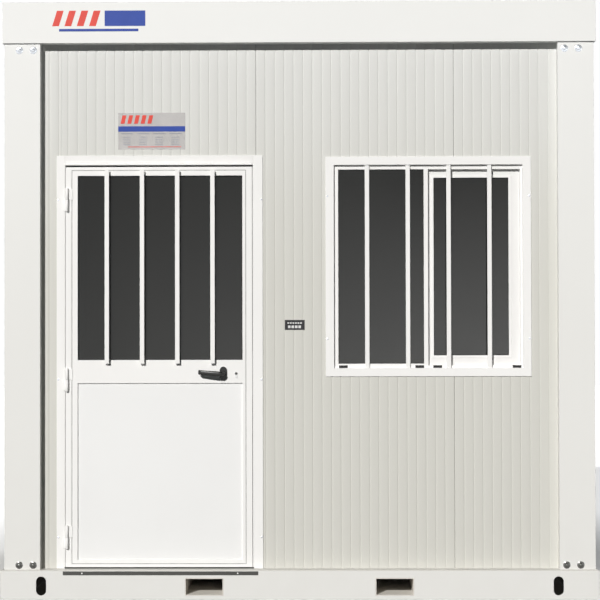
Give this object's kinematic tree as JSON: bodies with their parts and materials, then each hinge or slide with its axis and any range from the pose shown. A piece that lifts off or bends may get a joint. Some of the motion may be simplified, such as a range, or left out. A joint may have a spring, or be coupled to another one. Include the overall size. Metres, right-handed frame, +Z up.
{
  "type": "portable site cabin",
  "caption": "Portable site cabin: steel base with fork pockets, corner posts, panel walls, a half-glazed door that swings outward with a lever handle, and a barred sliding window.",
  "frame": {"origin": "on the ground, under the middle of the cabin", "axes": "+X along the door side, +Y from the door side to the back, +Z up; the door side faces -Y"},
  "size_m": [3, 2.402, 3],
  "materials": {
    "frame_paint": "satin",
    "panel_skin": "satin",
    "roof_sheet": "satin",
    "white_aluminium": "satin",
    "galvanised_steel": "matte",
    "dark_steel": "matte",
    "brushed_metal": "satin",
    "black_plastic": "satin",
    "tinted_glass": "gloss",
    "floor_plywood": "matte",
    "floor_vinyl": "satin"
  },
  "bodies": {
    "cabin": {"base_rail_front": "frame_paint", "base_rail_back": "frame_paint", "base_rail_left": "frame_paint", "base_rail_right": "frame_paint", "fork_tunnels": "frame_paint", "floor_joists": "galvanised_steel", "floor_board": "floor_plywood", "floor_covering": "floor_vinyl", "corner_post_front_left": "frame_paint", "corner_post_front_right": "frame_paint", "corner_post_back_left": "frame_paint", "corner_post_back_right": "frame_paint", "roof_beam_front": "frame_paint", "roof_beam_back": "frame_paint", "roof_beam_left": "frame_paint", "roof_beam_right": "frame_paint", "roof_panels": "roof_sheet", "front_panel_beside_door": "panel_skin", "front_panel_over_door": "panel_skin", "front_panel_middle": "panel_skin", "front_panel_right": "panel_skin", "left_wall_panels": "panel_skin", "right_wall_panels": "panel_skin", "back_wall_panels": "panel_skin", "door_jamb_hinge_side": "white_aluminium", "door_jamb_lock_side": "white_aluminium", "door_head": "white_aluminium", "door_rain_bar": "white_aluminium", "door_threshold": "dark_steel", "door_hinge_sockets": "white_aluminium", "window_frame": "white_aluminium", "window_fixed_light": "white_aluminium", "window_sliding_sash": "white_aluminium", "window_glass": "tinted_glass", "window_bars": "white_aluminium"},
    "door": {"door_leaf_frame": "white_aluminium", "door_lower_panel": "white_aluminium", "door_glass": "tinted_glass", "door_bars": "white_aluminium", "door_hinge_knuckles": "white_aluminium", "door_handle_roses": "black_plastic", "door_lock_cylinder": "brushed_metal"},
    "handle": {"door_lever_outside": "black_plastic", "door_lever_inside": "black_plastic", "door_spindle": "brushed_metal"}
  },
  "joints": [
    {"name": "door_hinge", "type": "hinge", "parent": "cabin", "child": "door", "pos_m": [-1.173, -1.147, 0.303], "axis": [0, 0, -1], "range_deg": [0, 155]},
    {"name": "handle_turn", "type": "hinge", "parent": "door", "child": "handle", "pos_m": [-0.383, -1.17, 1.127], "axis": [0, -1, 0], "range_deg": [0, 40], "stiffness_Nm_per_rad": 1.2, "springref_deg": -40.11}
  ]
}
